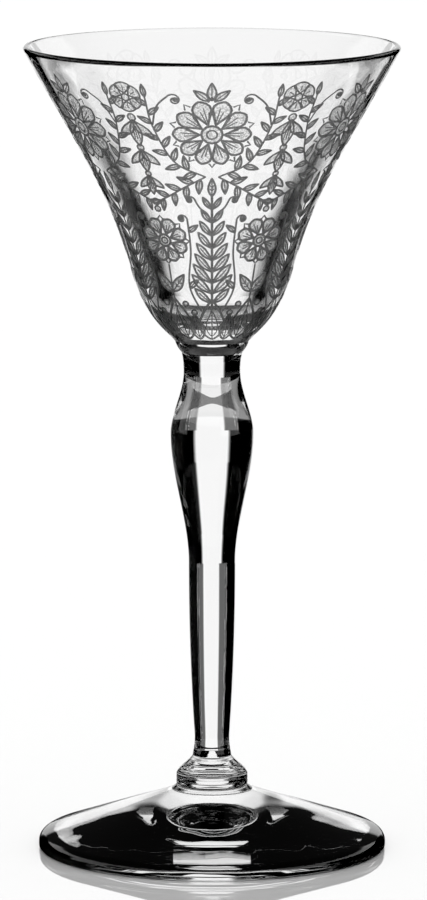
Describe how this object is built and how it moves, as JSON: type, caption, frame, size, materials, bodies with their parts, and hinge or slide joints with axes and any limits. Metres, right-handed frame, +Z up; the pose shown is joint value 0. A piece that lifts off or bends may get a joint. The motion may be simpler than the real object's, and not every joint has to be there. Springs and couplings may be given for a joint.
{
  "type": "liqueur glass",
  "caption": "Stemmed liqueur glass with a flared trumpet bowl etched with flowers, a baluster stem, a ringed collar and a wide conical foot to stand on.",
  "frame": {"origin": "middle of the ring on which the foot stands, on the table", "axes": "+Z up along the axis of the glass, from the foot to the rim; the glass is round, so X and Y are free"},
  "size_m": [0.0602, 0.0602, 0.13],
  "materials": {
    "clear_glass": "clear colourless glass, fire-polished",
    "etched_glass": "clear colourless glass with frosted grey etching on the outside"
  },
  "bodies": {
    "root": {"foot": "clear_glass", "collar": "clear_glass", "stem": "clear_glass", "wafer": "clear_glass", "bowl": "etched_glass"}
  },
  "joints": []
}
